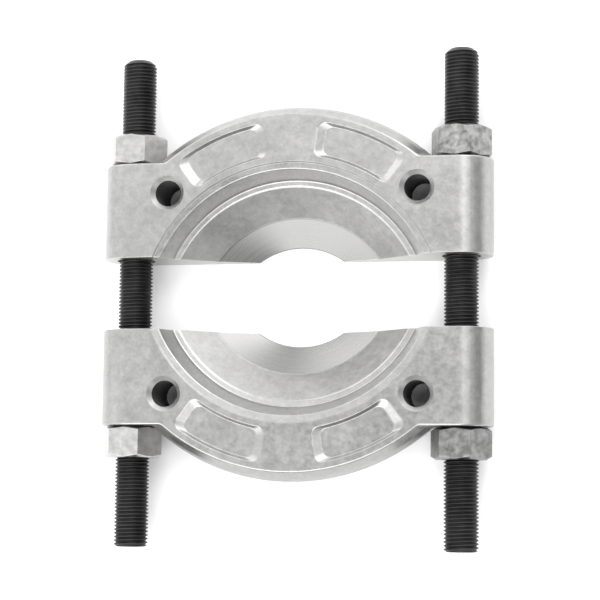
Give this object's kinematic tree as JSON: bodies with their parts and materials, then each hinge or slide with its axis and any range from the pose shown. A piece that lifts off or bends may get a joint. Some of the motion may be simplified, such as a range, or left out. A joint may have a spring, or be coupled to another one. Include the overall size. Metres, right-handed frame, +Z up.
{
  "type": "bearing separator",
  "caption": "Bearing separator with forged half plates that nuts draw together along threaded studs round a tapered bore, and tapped holes for puller legs.",
  "frame": {"origin": "on the floor, under the middle of the studs' length, midway between the studs", "axes": "+X from the left stud to the right stud, +Y along the studs towards the rear jaw, +Z up from the plates' flat backs to their dished faces"},
  "size_m": [0.163, 0.204, 0.026],
  "materials": {
    "jaw_steel": "blasted satin forging with machined faces",
    "stud_black": "black oxide",
    "nut_steel": "satin plated"
  },
  "bodies": {
    "studs": {"left_stud": "stud_black", "right_stud": "stud_black"},
    "rear_jaw": {"rear_jaw": "jaw_steel"},
    "front_jaw": {"front_jaw": "jaw_steel"},
    "rear_left_nut": {"rear_left_nut": "nut_steel"},
    "rear_right_nut": {"rear_right_nut": "nut_steel"},
    "front_left_nut": {"front_left_nut": "nut_steel"},
    "front_right_nut": {"front_right_nut": "nut_steel"}
  },
  "joints": [
    {"name": "rear_jaw_slide", "type": "slide", "parent": "studs", "child": "rear_jaw", "axis": [0, 1, 0], "range_m": [-0.0146, 0.032]},
    {"name": "front_jaw_slide", "type": "slide", "parent": "studs", "child": "front_jaw", "axis": [0, -1, 0], "range_m": [-0.0146, 0.036]},
    {"name": "rear_left_nut_turn", "type": "hinge", "parent": "rear_jaw", "child": "rear_left_nut", "pos_m": [-0.0685, 0.05645, 0.013], "axis": [0, 1, 0], "range_deg": [-3505, 7681]},
    {"name": "rear_right_nut_turn", "type": "hinge", "parent": "rear_jaw", "child": "rear_right_nut", "pos_m": [0.0685, 0.05645, 0.013], "axis": [0, 1, 0], "range_deg": [-3505, 7681]},
    {"name": "front_left_nut_turn", "type": "hinge", "parent": "front_jaw", "child": "front_left_nut", "pos_m": [-0.0685, -0.05265, 0.013], "axis": [0, -1, 0], "range_deg": [-3505, 8641]},
    {"name": "front_right_nut_turn", "type": "hinge", "parent": "front_jaw", "child": "front_right_nut", "pos_m": [0.0685, -0.05265, 0.013], "axis": [0, -1, 0], "range_deg": [-3505, 8641]}
  ],
  "couplings": [
    {"joint": "rear_left_nut_turn", "follows": "rear_jaw_slide", "rad_per_m": 4188.8},
    {"joint": "rear_right_nut_turn", "follows": "rear_jaw_slide", "rad_per_m": 4188.8},
    {"joint": "front_left_nut_turn", "follows": "front_jaw_slide", "rad_per_m": 4188.8},
    {"joint": "front_right_nut_turn", "follows": "front_jaw_slide", "rad_per_m": 4188.8}
  ]
}
